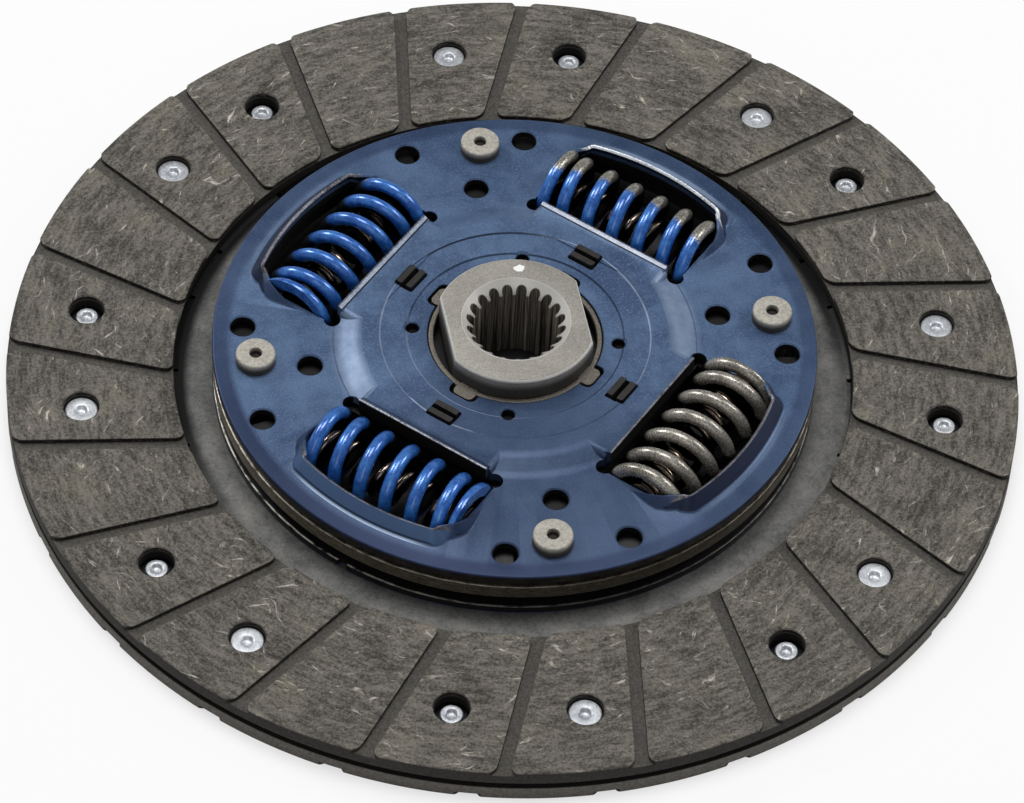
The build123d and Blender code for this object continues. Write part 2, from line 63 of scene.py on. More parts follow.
# Directions about the hub, in degrees from X.
WINDOWS = [45, 135, 225, 315]
QUARTERS = [0, 90, 180, 270]
PINS = [-3, 87, 177, 267]
FRONT_RIVETS = [88 + 45 * n for n in range(8)]
REAR_RIVETS = [71.2 + 45 * n for n in range(8)]
OUTER_HOLES = [a + side * 13 for a in QUARTERS for side in (-1, 1)]
SMALL_HOLES = [a - 15 for a in QUARTERS]

# Radii from the hub's axis.
SPLINE_MINOR = 8.95
HUB_RADIUS = 17.2
HUB_FLAT = 14.8
SMALL_HOLE_CIRCLE = 21.85
WINDOW_INNER, WINDOW_OUTER = 33.6, 57.0
CROWN_FOOT = 37.3
INNER_HOLE_CIRCLE = 43.95
SPRING_CIRCLE = 44.4
PIN_CIRCLE = 55.1
OUTER_HOLE_CIRCLE = 57.65
LIP_CREASE = 59.0
PLATE_RADIUS = 64.0
LINING_INNER, LINING_OUTER = 72.25, 107.5
RIVET_CIRCLE = 92.15

# Heights above the rear friction face: the lower and upper faces of the sheets, and single levels.
REAR_PLATE = (4.7, 6.5)
FLANGE = (9.7, 13.1)
FRONT_PLATE = (14.4, 16.4)
MIDDLE = 4.3
FRONT_LINING_BACK = 5.1
FRONT_FACE = 8.6
SPRING_HEIGHT = 12.5
HUB_TOP = 23.1

# Other sizes: the dab of paint's place on the hub, the angle of a sharp edge and the steps round a plate.
LINING_THICK = 3.5
GROOVE_WIDTH = 2.8
GROOVE_FLOOR = 2.3
WINDOW_HALF = 19
SPRING_LENGTH = 37.6
DAB = (3.3, 13.9)
SHARP = 32
PLATE_STEPS = 480


# ---------------------------------------------------------------- mesh helpers


def ring_of(bm, points):
    """A closed wire in the XZ plane; a point's third number is its corner's rounding."""
    verts = [bm.verts.new((p[0], 0, p[1])) for p in points]
    for near, far in zip(verts, verts[1:] + verts[:1]):
        bm.edges.new((near, far))
    for vert, point in zip(verts, points):
        if len(point) > 2:
            soften(bm, [vert], point[2], 4, "VERTICES")
    return bm


def soften(bm, geom, width, segments=2, affect="EDGES"):
    """Rounds edges or corners."""
    bmesh.ops.bevel(
        bm,
        geom=geom,
        offset=width,
        offset_type="OFFSET",
        segments=segments,
        profile=0.5,
        affect=affect,
        material=-1,
        clamp_overlap=True,
    )


def close(bm):
    """Merges doubles, fills open ends and turns all faces outward."""
    bmesh.ops.remove_doubles(bm, verts=bm.verts, dist=0.0005)
    bmesh.ops.holes_fill(bm, edges=bm.edges, sides=0)
    bmesh.ops.recalc_face_normals(bm, faces=bm.faces)
    return bm


def lathe(points, steps=240, start=0.0, arc=360.0):
    """A closed profile of (radius, height, rounding) spun about Z."""
    bm = ring_of(bmesh.new(), points)
    turn(bm, start)
    bmesh.ops.spin(
        bm,
        geom=bm.verts[:] + bm.edges[:],
        cent=(0, 0, 0),
        axis=(0, 0, 1),
        dvec=(0, 0, 0),
        angle=radians(arc),
        steps=steps,
        use_merge=arc == 360,
    )
    return close(bm)


def turn(bm, angle, axis="Z", verts=None):
    """Turns the shape about an axis through the origin."""
    bmesh.ops.rotate(
        bm,
        cent=(0, 0, 0),
        matrix=Matrix.Rotation(radians(angle), 3, axis),
        verts=verts or bm.verts,
    )
    return bm


def move(bm, x=0.0, y=0.0, z=0.0):
    """Moves the shape."""
    bmesh.ops.translate(bm, vec=(x, y, z), verts=bm.verts)
    return bm


def around(bm, angles, radius=0.0):
    """The shape moved out along X, and a copy of it at each angle about Z."""
    move(bm, radius)
    first = bm.verts[:] + bm.edges[:] + bm.faces[:]
    corners = bm.verts[:]
    for angle in angles[1:]:
        copy = bmesh.ops.duplicate(bm, geom=first)["geom"]
        turn(bm, angle, verts=[g for g in copy if isinstance(g, bmesh.types.BMVert)])
    return turn(bm, angles[0], verts=corners)


def raised(bm, low, high):
    """A flat outline at z = 0 made into a solid between two heights."""
    if not bm.faces:
        bmesh.ops.contextual_create(bm, geom=bm.edges[:])
    move(bm, z=low)
    made = bmesh.ops.extrude_face_region(bm, geom=bm.faces[:])["geom"]
    top = [g for g in made if isinstance(g, bmesh.types.BMVert)]
    bmesh.ops.translate(bm, vec=(0, 0, high - low), verts=top)
    bmesh.ops.recalc_face_normals(bm, faces=bm.faces)
    return bm


def outline(points):
    """A flat closed outline; a point's third number is its corner's rounding."""
    bm = ring_of(bmesh.new(), points)
    bmesh.ops.rotate(bm, cent=(0, 0, 0), matrix=Matrix.Rotation(-pi / 2, 3, "X"), verts=bm.verts)
    bmesh.ops.scale(bm, vec=(1, 1, 0), verts=bm.verts)
    bmesh.ops.contextual_create(bm, geom=bm.edges[:])
    return bm


def prism(points, low, high):
    """A straight solid on an outline of (x, y, rounding)."""
    return raised(outline(points), low, high)


def bar(inner, outer, width, low, high, rounding=0.0):
    """A straight block along X with rounded upright corners."""
    extra = (rounding,) if rounding else ()
    corners = ((inner, -width / 2), (outer, -width / 2), (outer, width / 2), (inner, width / 2))
    return prism([(x, y, *extra) for x, y in corners], low, high)


def rod(radius, low, high, chamfer=0.0):
    """A round cutter through a sheet; it opens out by a chamfer at each face."""
    wide = radius + chamfer + 1
    lower = [(0, low - 1), (wide, low - 1), (radius, low + chamfer)]
    upper = [(radius, high - chamfer), (wide, high + 1), (0, high + 1)]
    return lathe(lower + upper, 40)


def disc_part(radius, planes, segments=720):
    """A flat round face, cut back at each (x, y, distance) plane."""
    bm = bmesh.new()
    bmesh.ops.create_circle(bm, cap_ends=True, radius=radius, segments=segments)
    for x, y, distance in planes:
        bmesh.ops.bisect_plane(
            bm,
            geom=bm.verts[:] + bm.edges[:] + bm.faces[:],
            dist=0.0001,
            plane_co=(x * distance, y * distance, 0),
            plane_no=(x, y, 0),
            clear_outer=True,
        )
    return bm


def as_object(bm, name):
    """The shape as an object in the scene."""
    mesh = bpy.data.meshes.new(name)
    bm.to_mesh(mesh)
    bm.free()
    obj = bpy.data.objects.new(name, mesh)
    bpy.context.scene.collection.objects.link(obj)
    return obj


def combined(bm, *tools, operation="DIFFERENCE"):
    """The shape with each tool cut out of it, or joined to it as one solid."""
    base = as_object(bm, "base")
    helpers = []
    for tool in tools:
        helper = as_object(tool, "tool")
        modifier = base.modifiers.new("tool", "BOOLEAN")
        modifier.operation = operation
        modifier.solver = "MANIFOLD"
        modifier.object = helper
        helpers.append(helper)
    shown = base.evaluated_get(bpy.context.evaluated_depsgraph_get())
    mesh = bpy.data.meshes.new_from_object(shown)
    made = bmesh.new()
    made.from_mesh(mesh)
    for obj in [base, *helpers]:
        bpy.data.objects.remove(obj)
    bpy.data.meshes.remove(mesh)
    return made


def joined(bm, *others):
    """Separate shapes kept in one mesh."""
    for other in others:
        mesh = bpy.data.meshes.new("other")
        other.to_mesh(mesh)
        other.free()
        bm.from_mesh(mesh)
        bpy.data.meshes.remove(mesh)
    return bm


def piece(bm, name, body, slot, material, nodes):
    """The finished shape as a visual piece that rides on a CAD body and stands for its nodes."""
    bmesh.ops.remove_doubles(bm, verts=bm.verts, dist=0.0005)
    bmesh.ops.recalc_face_normals(bm, faces=bm.faces)
    bmesh.ops.scale(bm, vec=(MM, MM, MM), verts=bm.verts)
    obj = as_object(bm, name)
    obj.data.shade_smooth()
    obj.data.set_sharp_from_angle(angle=radians(SHARP))
    obj.data.materials.append(material)
    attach(obj, body)
    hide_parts(*nodes)
    return obj


def piece_for(node, bm, body, material):
    """A piece that stands for one CAD node and has its name."""
    return piece(bm, f"{node}_shown", body, node, material, [node])


# ------------------------------------------------------------- material helpers


def rgb(red, green, blue):
    """A colour as seen on screen, 0 to 255, made linear."""
    return (*((c / 255) ** 2.2 for c in (red, green, blue)), 1)


class Out:
    """One output of a node, or an empty one to start from. Arithmetic on it adds Math nodes."""

    def __init__(self, tree, socket=None):
        self.tree = tree
        self.socket = socket

    def node(self, kind, values, output=0, **settings):
        """A node with these settings, then these values or links, and its chosen output."""
        made = self.tree.nodes.new(kind)
        for name, setting in settings.items():
            setattr(made, name, setting)
        for key, value in values.items():
            if isinstance(value, Out):
                self.tree.links.new(value.socket, made.inputs[key])
            else:
                made.inputs[key].default_value = value
        return Out(self.tree, made.outputs[output])

    def math(self, operation, *values):
        """A Math node on these values, or on this one alone."""
        return self.node("ShaderNodeMath", dict(enumerate(values or (self,))), operation=operation)

    def __add__(self, other):
        return self.math("ADD", self, other)

    def __radd__(self, other):
        return self.math("ADD", other, self)

    def __sub__(self, other):
        return self.math("SUBTRACT", self, other)

    def __rsub__(self, other):
        return self.math("SUBTRACT", other, self)

    def __mul__(self, other):
        return self.math("MULTIPLY", self, other)

    def __rmul__(self, other):
        return self.math("MULTIPLY", other, self)

    def __truediv__(self, other):
        return self.math("DIVIDE", self, other)

    def __rtruediv__(self, other):
        return self.math("DIVIDE", other, self)

    def __pow__(self, other):
        return self.math("POWER", self, other)

    def step(self, low, high):
        """0 below low, 1 above high, smooth between."""
        return self.node(
            "ShaderNodeMapRange",
            {"Value": self, "From Min": low, "From Max": high},
            interpolation_type="SMOOTHSTEP",
        )

    def band(self, low, high, soft=0.1):
        """1 between low and high, 0 outside."""
        return self.step(low - soft, low + soft) * (1 - self.step(high - soft, high + soft))

    def mix(self, first, second):
        """A colour between two others, by this value."""
        return self.node("ShaderNodeMix", {0: self, 6: first, 7: second}, 2, data_type="RGBA")

    def noise(self, scale, detail=2.0, roughness=0.5, distortion=0.0):
        """Noise from 0 to 1 over this vector."""
        values = {"Vector": self, "Scale": scale, "Detail": detail, "Roughness": roughness}
        return self.node("ShaderNodeTexNoise", {**values, "Distortion": distortion})

    def scaled(self, x, y, z):
        """This vector times another."""
        return self.node("ShaderNodeVectorMath", {0: self, 1: (x, y, z)}, operation="MULTIPLY")

    def bump(self, distance, strength=1.0):
        """A normal bent by this height times a distance in millimetres."""
        return self.node("ShaderNodeBump", {"Height": self, "Distance": distance * MM, "Strength": strength})


def vector(x, y, z):
    """Three values as a vector."""
    return x.node("ShaderNodeCombineXYZ", {0: x, 1: y, 2: z})


def material(name):
    """A new material: its shader, and its Object coordinates in millimetres."""
    made = bpy.data.materials.new(name)
    made.use_nodes = True
    tree = made.node_tree
    shader = tree.nodes["Principled BSDF"]
    here = Out(tree).node("ShaderNodeTexCoord", {}, 3).scaled(1000, 1000, 1000)
    return made, shader, here


def feed(shader, **inputs):
    """Links or sets the shader's inputs; a name's underscores stand for spaces."""
    for name, value in inputs.items():
        socket = shader.inputs[name.replace("_", " ")]
        if isinstance(value, Out):
            value.tree.links.new(value.socket, socket)
        else:
            socket.default_value = value


def polar(here):
    """Radius and angle in degrees about the hub axis, and height."""
    split = here.node("ShaderNodeSeparateXYZ", {0: here})
    x, y, z = (Out(here.tree, split.socket.node.outputs[n]) for n in range(3))
    radius = (x * x + y * y) ** 0.5
    return radius, x.math("ARCTAN2", y, x) * degrees(1), z


def local(radius, angle, first):
    """X and Y in the frame of the nearest of four directions about the hub axis, of which one is given."""
    turned = ((angle - first) / 90 + 0.5).math("FRACT") * 90 - 45
    turned = turned * radians(1)
    return radius * turned.math("COSINE"), radius * turned.math("SINE")


def toward(angle, direction):
    """1 in a direction about the hub axis, 0 at right angles to it, -1 opposite."""
    return ((angle - direction) * radians(1)).math("COSINE")


def below(height, level, soft):
    """1 below a height, 0 a little above it."""
    return 1 - (height - level).step(0, soft)


def above(height, level, soft):
    """0 below a height, 1 a little above it."""
    return (height - level).step(0, soft)


def sunk(radius, angle, height, dark, lit):
    """A mask for painted shade: 0 down in a window, 1 at the top and at the very back; the painted shade climbs on
    the side away from the camera.
    """
    up = (angle * radians(1)).math("SINE").step(-0.2, 0.2)
    front = (height - (radius - SPRING_CIRCLE) * (up * 0.6 - 0.3)).step(dark, lit)
    return front + 1 - height.step(4.6, 6.2)


# --------------------------------------------------------------------- materials


def steel(name, dark, light, roughness, metallic=1.0, speckle=0.5, grain=0.02, shade=None):
    """Steel or plastic with broad clouds and fine speckle; shade makes a spring dark down in its window as painted
    shade.
    """
    made, shader, here = material(name)
    broad = here.noise(0.12, 3, 0.6)
    fine = here.noise(1 / speckle, 3, 0.7)
    base = (broad * 0.45 + fine * 0.55).step(0.32, 0.68).mix(rgb(*dark), rgb(*light))
    if shade:
        # Painted shade down in a spring's window.
        base = sunk(*polar(here), *shade).mix(rgb(17, 16, 15), base)
    feed(
        shader,
        Base_Color=base,
        Metallic=metallic,
        Roughness=roughness + (fine - 0.5) * 0.3,
        Normal=fine.bump(grain),
    )
    return made


def lining_material():
    """Moulded friction material: grey-brown, with short pale and dark fibres lying two ways."""
    made, shader, here = material("lining")
    radius, angle, height = polar(here)
    around_arc = angle * radians(92)  # the distance round the hub's axis, taken at radius 92
    clouds = here.noise(0.09, 3, 0.6)
    grit = here.noise(1.5, 5, 0.85)
    plain = grit.step(0.3, 0.7)
    streak = vector(around_arc * 0.25, radius * 0.8, height).noise(1, 4, 0.7)

    # Two lays of fibres: noise drawn out along each, with a slow sway.
    sway = (here.noise(0.12, 1) - 0.5) * 7
    fibres = []
    for lie, width in ((64, 0.95), (112, 0.85)):
        along = radius * cos(radians(lie)) + around_arc * sin(radians(lie))
        across = around_arc * cos(radians(lie)) - radius * sin(radians(lie)) + sway
        fibres.append(vector(along * 0.17, across * width, height * 0.2).noise(1, 5, 0.68, 0.12))
    pale = fibres[0].step(0.6, 0.72) * clouds.step(0.36, 0.6) + fibres[1].step(0.61, 0.74)
    dark = (1 - fibres[0]).step(0.57, 0.72) * 0.7 + (1 - fibres[1]).step(0.58, 0.74) * 0.7

    # The face: grain in three tints, then the fibres.
    grain = (clouds * 0.15 + grit * 0.5 + streak * 0.35).step(0.395, 0.605)
    olive, reddish = ((clouds - 0.5) * 4).step(0, 1), ((streak - 0.55) * 5).step(0, 1)
    base = grain.mix(rgb(52, 49, 45), rgb(126, 122, 114))
    base = (olive * 0.5).mix(base, grain.mix(rgb(56, 53, 43), rgb(128, 123, 106)))
    base = (reddish * 0.5).mix(base, grain.mix(rgb(60, 50, 46), rgb(132, 119, 112)))
    base = (dark * 0.55).mix(base, rgb(54, 50, 46))
    base = (pale * (0.3 + grit * 1.3)).mix(base, rgb(208, 201, 187))

    # The grooves' walls in painted shade with a dashed pale line, and their floors, by the height from the middle,
    # and the outer rim, with painted shade on the front lining's rim.
    out = (height - MIDDLE).math("ABSOLUTE")
    dash_noise = vector(radius * 0.9, around_arc * 0.3, height).noise(1, 3, 0.7).step(0.5, 0.6)
    pale_dashes = out.band(3.5, 3.6, 0.06) * dash_noise
    wall = pale_dashes.mix(plain.mix(rgb(22, 20, 19), rgb(40, 37, 34)), rgb(148, 141, 130))
    rear_rim = plain.mix(rgb(84, 81, 77), rgb(128, 124, 118))
    # Painted shade on the front lining's rim.
    shaded_front_rim = plain.mix(rgb(30, 29, 28), rgb(62, 59, 56))
    rim = height.step(3.4, 5.2).mix(rear_rim, shaded_front_rim)
    wall = radius.step(LINING_OUTER - 0.2, LINING_OUTER - 0.1).mix(wall, rim)
    # The groove floors: smooth and without fibres, and darker as painted shade.
    groove_floor = (plain * 0.6 + streak * 0.4).step(0.2, 0.8).mix(rgb(66, 63, 59), rgb(98, 95, 89))
    within = 1 - radius.step(LINING_OUTER - 0.3, LINING_OUTER - 0.1)
    wall = (out.band(2.95, 3.2, 0.04) * within).mix(wall, groove_floor)
    feed(
        shader,
        Base_Color=out.step(MIDDLE - 0.35, MIDDLE - 0.15).mix(wall, base),
        Roughness=0.84 - pale * 0.2,
        Normal=(fibres[0] * 0.5 + grit).bump(0.14, 0.9),
    )
    return made


def blue_material():
    """Satin blue phosphate: pale where the sheet bends, partly rubbed and partly painted highlight, bare on the lips'
    cut edges, and in painted shade in its openings.
    """
    made, shader, here = material("front_plate")
    radius, angle, height = polar(here)
    face = FRONT_PLATE[1]
    x, y = local(radius, angle, WINDOWS[0])
    beside = y.math("ABSOLUTE")
    broad = here.noise(0.05, 3, 0.6)
    fine = here.noise(2.2, 3, 0.8)
    scuff = here.noise(0.2, 5, 0.7)
    edge = (fine * 0.6 + scuff * 0.4).step(0.36, 0.62)

    # Where the sheet shines in the photo, by the direction from the hub.
    up = (angle * radians(1)).math("SINE").step(-0.2, 0.4)
    left = toward(angle, 215)
    facing = left.step(0.4, 0.9)
    upper = toward(angle, WINDOWS[0]).step(0.5, 0.9)
    lower = toward(angle, WINDOWS[2]).step(0.4, 0.9)
    bottom_shade = toward(angle, 262).step(0.35, 0.95)
    sides = toward(angle, 15) ** 2
    shine = toward(angle, 12).math("ABSOLUTE").step(0.4, 0.95)

    # The sheet, with the crown's slope pale as a painted highlight that is partly rubbed paint, a line of painted
    # shade at its foot, fine grain, painted shade over the bottom and a darker rim.
    base = (broad * 0.6 + scuff * 0.4).step(0.34, 0.66).mix(rgb(58, 80, 114), rgb(84, 108, 142))
    slope = radius.band(33.0, 38.4, 1.7) * sides * (1 - height.step(18.32, 18.36))
    base = (slope * (scuff * 1.4 - left * 0.1 - 0.05)).mix(base, rgb(144, 162, 188))
    foot = radius.band(38.3, 38.6, 0.12) * sides
    base = (foot * 0.7).mix(base, rgb(36, 50, 82))
    base = ((fine - 0.5) * 2.6 + 0.1).step(0, 1).mix(base, rgb(122, 144, 178))
    base = (bottom_shade * 0.6).mix(base, rgb(38, 52, 80))
    base = (radius.step(59.6, 61.5) * (0.5 + lower * 0.45)).mix(base, rgb(26, 44, 78))

    # The crown's two steps: lines of painted shade that turn to painted highlights where they face the light.
    near, far = radius.band(22.8, 23.1, 0.12), radius.band(28.5, 28.78, 0.1)
    base = (near * (1 - facing) * 0.6 + far * (1 - shine) * 0.85).mix(base, rgb(22, 33, 58))
    base = ((near * facing + far * shine) * (0.15 + scuff)).mix(base, rgb(182, 198, 224))

    # The outer lips: a painted highlight along the crease, the hood's slope lit towards 225 degrees with a line of
    # painted shade at its crease there and in painted shade elsewhere, and painted shade on the run-outs beside it.
    crease = radius.band(58.95, 60.2 - lower * 0.75, 0.3 - lower * 0.2) * (1 - beside.step(11, WINDOW_HALF))
    base = (crease * (0.12 + upper * 0.35 + lower * 0.75)).mix(base, rgb(176, 196, 224))
    hood = radius.step(54.5, 55.5) * above(height, face + 0.15, 0.35) * (1 - radius.step(58.9, 59.2))
    crease_shade_line = radius.band(58.6, 58.85, 0.08) * lower
    base = (hood * 0.9).mix(base, (lower * (1.1 - crease_shade_line)).mix(rgb(24, 33, 58), rgb(76, 102, 140)))
    bent = beside.step(18.6, 19.3) * above(height, face + 0.05, 0.4) * radius.band(46, 59, 1)
    base = (bent * 0.6).mix(base, rgb(30, 44, 78))
    along = (LIP_CREASE - radius) * 0.59 + (height - face) * 0.81
    cut = hood * along.step(3.55, 3.66)

    # The inner lips: a strip, partly rubbed and pale as a painted highlight on the upper windows, a thin groove
    # beside it in painted shade, and the bare cut edge.
    inner_lip = x.band(33.0, 35.0, 0.05) * (1 - beside.step(16, 16.2))
    strip = inner_lip * above(height, 18.5, 0.12)
    base = (strip * up * (0.25 + upper * 0.3 + edge * 0.45)).mix(base, rgb(200, 208, 224))
    groove = inner_lip * x.band(33.3, 33.6, 0.05) * above(height, 18.3, 0.1) * (up + lower).step(0, 1)
    base = groove.mix(base, rgb(16, 18, 26))
    inner_cut = strip * x.step(34.2, 34.3)
    bare = cut.math("MAXIMUM", cut, inner_cut)
    base = bare.mix(base, edge.mix(rgb(66, 64, 70), rgb(138, 138, 146)))
    # Painted highlights on the cut edges: the inner lips' towards 225 degrees, the outer lips' towards 45 degrees.
    base = (inner_cut * edge * lower).mix(base, rgb(176, 178, 184))
    base = (cut * upper * (0.4 + edge)).mix(base, rgb(232, 238, 246))

    # The walls of the openings and the back in painted shade, nearly black, and the plate's outer edge.
    inside = below(height, 16.0, 0.2) * radius.step(37.5, 38)
    inside = inside + below(height, 17.25, 0.2) * (1 - radius.step(33, 33.2))
    inside = inside + inner_lip * x.step(34.6, 34.68) * below(height, 18.65, 0.1)
    under_hood = above(height, 16.8, 0.1) * radius.step(54, 54.5) * (1 - along.step(3.0, 3.2)) * (1 - hood)
    inside = (inside + under_hood).step(0, 1) * (1 - radius.step(63.3, 63.5))
    base = inside.mix(base, rgb(19, 18, 19))
    wall = radius.step(63.55, 63.75) * below(height, 15.9, 0.35)
    base = wall.mix(base, scuff.step(0.4, 0.7).mix(rgb(26, 23, 23), rgb(62, 56, 52)))
    feed(
        shader,
        Base_Color=base,
        Metallic=0.4 + bare * 0.4,
        Roughness=0.44 + (fine - 0.5) * 0.35 + (broad - 0.5) * 0.15 + inside * 0.4,
        Normal=fine.bump(0.035),
    )
    return made


def bush_material():
    """Sintered bearing ring, in painted shade where it lies under the front plate."""
    made, shader, here = material("bush_steel")
    _, _, height = polar(here)
    grit = here.noise(2, 4, 0.8)
    sintered = grit.step(0.3, 0.7).mix(rgb(92, 87, 79), rgb(142, 136, 127))
    # Painted shade where the ring lies under the front plate.
    base = height.step(16.2, 17.0).mix(rgb(20, 19, 18), sintered)
    feed(shader, Base_Color=base, Metallic=0.6, Roughness=0.45 + grit * 0.2, Normal=grit.bump(0.05))
    return made


def cushion_material():
    """Tempered spring steel: grey, pitted, with a painted shadow beside the front lining's inner edge and painted
    shade under it.
    """
    made, shader, here = material("cushion_steel")
    radius, angle, _ = polar(here)
    broad = here.noise(0.1, 4, 0.65)
    fine = here.noise(1.4, 4, 0.8)
    pits = here.noise(0.8, 2, 0.5).step(0.7, 0.76)
    base = (broad * 0.55 + fine * 0.45).step(0.34, 0.66).mix(rgb(84, 85, 85), rgb(136, 135, 132))
    base = (pits * 0.7).mix(base, rgb(40, 40, 44))
    # Painted shadow of the front lining beside its inner edge, on one side, and painted shade under that edge.
    facing = toward(angle, 96).step(-0.5, 0.1)
    base = (radius.step(68.2, 70.6) * facing).mix(base, rgb(18, 18, 19))
    base = radius.step(71.9, 72.2).mix(base, rgb(40, 41, 44))
    feed(shader, Base_Color=base, Metallic=0.6, Roughness=0.42 + (fine - 0.5) * 0.4, Normal=fine.bump(0.04))
    return made


def edge_material(name, top, dark, light, metallic, line=0.2, back=None):
    """A plate that shows at its edge, with a dashed painted highlight along its top corner, painted shade away from
    the directions 20 and 200 degrees, and painted shade inside its windows.

    back is the height below which its rear face shows, and that face's two colours.
    """
    made, shader, here = material(name)
    radius, angle, height = polar(here)
    streak = vector(radius * 0.5, angle * 0.35, height * 3).noise(1, 3, 0.7)
    fine = here.noise(1.8, 4, 0.75)
    base = (streak * 0.5 + fine * 0.5).step(0.32, 0.68).mix(rgb(*dark), rgb(*light))
    rim = radius.step(62.4, 63.2)
    lit_sides = toward(angle, 200) ** 2
    highlight_dashes = streak.step(0.35, 0.6) * (0.25 + lit_sides * 0.75)
    # Painted highlight: a dashed bright line on the top corner, strongest towards 20 and 200 degrees.
    corner = rim * (height - top + line).step(0, 0.1) * radius.step(63.4, 63.6)
    base = (corner * highlight_dashes).mix(base, rgb(226, 220, 206))
    # Painted shade away from those directions, and inside the rim.
    base = ((1 - lit_sides) * 0.5).mix(base, rgb(30, 28, 26))
    base = (1 - rim).mix(base, rgb(24, 23, 24))
    outside = rim
    if back:
        level, first, second = back
        behind = 1 - (height - level).step(0.1, 0.3)
        rear_face = (fine * 0.6 + streak * 0.4).step(0.34, 0.66).mix(rgb(*first), rgb(*second))
        base = behind.mix(base, rear_face)
        outside = rim.math("MAXIMUM", rim, behind)
    feed(
        shader,
        Base_Color=base,
        Metallic=metallic * outside,
        Roughness=0.42 + (fine - 0.5) * 0.4,
        Normal=fine.bump(0.04),
    )
    return made


def hub_material():
    """Fine-blasted steel, in painted shade and drawn in the spline, with a dab of white paint on the end face."""
    made, shader, here = material("hub_steel")
    radius, angle, height = polar(here)
    broad = here.noise(0.12, 3, 0.6)
    grit = here.noise(2.2, 3, 0.8)
    base = (broad * 0.35 + grit * 0.65).step(0.32, 0.68).mix(rgb(134, 131, 124), rgb(178, 174, 166))

    # The spline lies below the cone of the bore's mouth.
    depth = 11.6 + radius - height
    inside = (depth - 0.12).step(0, 0.3) * (1 - (radius - 11).step(0, 0.4))
    mouth = (1 - inside) * (1 - (radius - 11.55).step(0, 0.1)) * (height - 18).step(0, 1)
    drawn = vector(radius * 2.5, angle * 1.6, height * 0.05).noise(1, 3, 0.7)
    base = (mouth * 0.8).mix(base, rgb(226, 224, 218))
    # Painted shade down the spline, with pale drawn lines.
    base = inside.mix(base, drawn.step(0.42, 0.66).mix(rgb(58, 55, 52), rgb(206, 198, 186)))

    # The body is in painted shade low down, and rubbed at its upper edge.
    side = below(height, 19.6, 2.6) * (1 - inside)
    base = (side * 0.85).mix(base, rgb(34, 30, 26))
    rubbed = height.band(22.35, 22.95, 0.1) * radius.step(13.6, 14.2)
    base = (rubbed * (0.3 + grit)).mix(base, rgb(232, 230, 224))

    # The dab of paint.
    x = radius * (angle * radians(1)).math("COSINE")
    y = radius * (angle * radians(1)).math("SINE")
    reach = (((x - DAB[0]) / 1.35) ** 2 + ((y - DAB[1]) / 0.95) ** 2) ** 0.5
    reach = reach + (here.noise(1.1, 1) - 0.5) * 0.9
    dab = (1 - reach.step(0.85, 1.0)) * above(height, HUB_TOP - 0.1, 0.05)
    feed(
        shader,
        Base_Color=dab.mix(base, rgb(250, 250, 248)),
        Metallic=0.35 * (1 - dab),
        Roughness=0.6 + (grit - 0.5) * 0.3 - mouth * 0.2,
        Normal=(grit + drawn * inside).bump(0.04),
    )
    return made


def pin_material():
    """Matt plated steel, in painted shade at its foot and in the dimple."""
    made, shader, here = material("pin_steel")
    radius, angle, height = polar(here)
    x, y = local(radius, angle, PINS[1])
    reach = ((x - PIN_CIRCLE) ** 2 + y * y) ** 0.5
    grit = here.noise(1.8, 4, 0.8)
    base = grit.step(0.3, 0.7).mix(rgb(150, 146, 136), rgb(200, 196, 186))
    # Painted shade at the foot, where the pin stands in the plate.
    foot = 1 - (height - 16.9 - grit * 1.2).step(0, 1.4)
    base = (foot * 0.9).mix(base, rgb(44, 37, 31))
    # Painted shade in the dimple.
    base = (1 - reach.step(1.1, 1.45)).mix(base, rgb(50, 47, 44))
    roughness = 0.6 + (grit - 0.5) * 0.3
    feed(shader, Base_Color=base, Metallic=0.3, Roughness=roughness, Normal=grit.bump(0.04))
    return made


def paint_material():
    """Gloss blue paint on a spring, in one window rubbed to steel on the side towards the rim, and in painted shade
    down in its window.
    """
    made, shader, here = material("spring_paint")
    radius, angle, height = polar(here)
    worn = here.noise(0.5, 5, 0.7)
    speck = here.noise(2.5, 3, 0.7)
    upper = toward(angle, WINDOWS[0]).step(0.1, 0.9)
    wear = (radius - 50.6) / 5 + upper * 1.65 - 0.65 + (height - 17) / 14
    bare = (wear + (worn - 0.5) * 0.9 + (speck - 0.5) * 0.5).step(0.25, 0.6)
    paint = worn.step(0.35, 0.65).mix(rgb(34, 88, 174), rgb(66, 130, 214))
    metal = speck.step(0.35, 0.65).mix(rgb(112, 108, 99), rgb(206, 202, 190))
    # Painted shade down in the window: nearly black, and without its coat there.
    lit = sunk(radius, angle, height, 15.2, 17.4)
    feed(
        shader,
        Base_Color=lit.mix(rgb(12, 14, 20), bare.mix(paint, metal)),
        Metallic=0.3 + bare * 0.5,
        Roughness=0.28 + bare * 0.06 + (speck - 0.5) * 0.2 + (1 - lit) * 0.3,
        Coat_Weight=lit * (1 - bare * 0.8),
        Coat_Roughness=0.16,
        Normal=speck.bump(0.03),
    )
    return made


lining_look = lining_material()
blue_look = blue_material()
rear_face = (REAR_PLATE[0] + 0.05, (52, 76, 116), (84, 110, 150))
rear_blue_look = edge_material("rear_plate", REAR_PLATE[1], (22, 22, 26), (44, 44, 50), 0.5, 0.16, rear_face)
flange_look = edge_material("flange_steel", FLANGE[1], (78, 72, 62), (164, 154, 136), 0.8)
bare_look = steel("bare_steel", (104, 98, 90), (150, 144, 134), 0.42)
bush_look = bush_material()
hub_look = hub_material()
spring_look = paint_material()
# The springs' steels take painted shade down in their windows.
plain_look = steel("spring_steel", (112, 108, 101), (202, 197, 187), 0.26, 0.6, 0.45, 0.05, (15.2, 17.2))
inner_look = steel("inner_spring_steel", (80, 70, 62), (190, 172, 156), 0.22, shade=(16.3, 17.7))
cushion_look = cushion_material()
plastic_look = steel("plastic", (30, 29, 28), (46, 44, 42), 0.4, 0.0, 0.6)
rivet_look = steel("rivet_steel", (176, 180, 186), (228, 231, 235), 0.42, 0.7, 0.5, 0.04)
pin_look = pin_material()


# ---------------------------------------------------------------------- linings


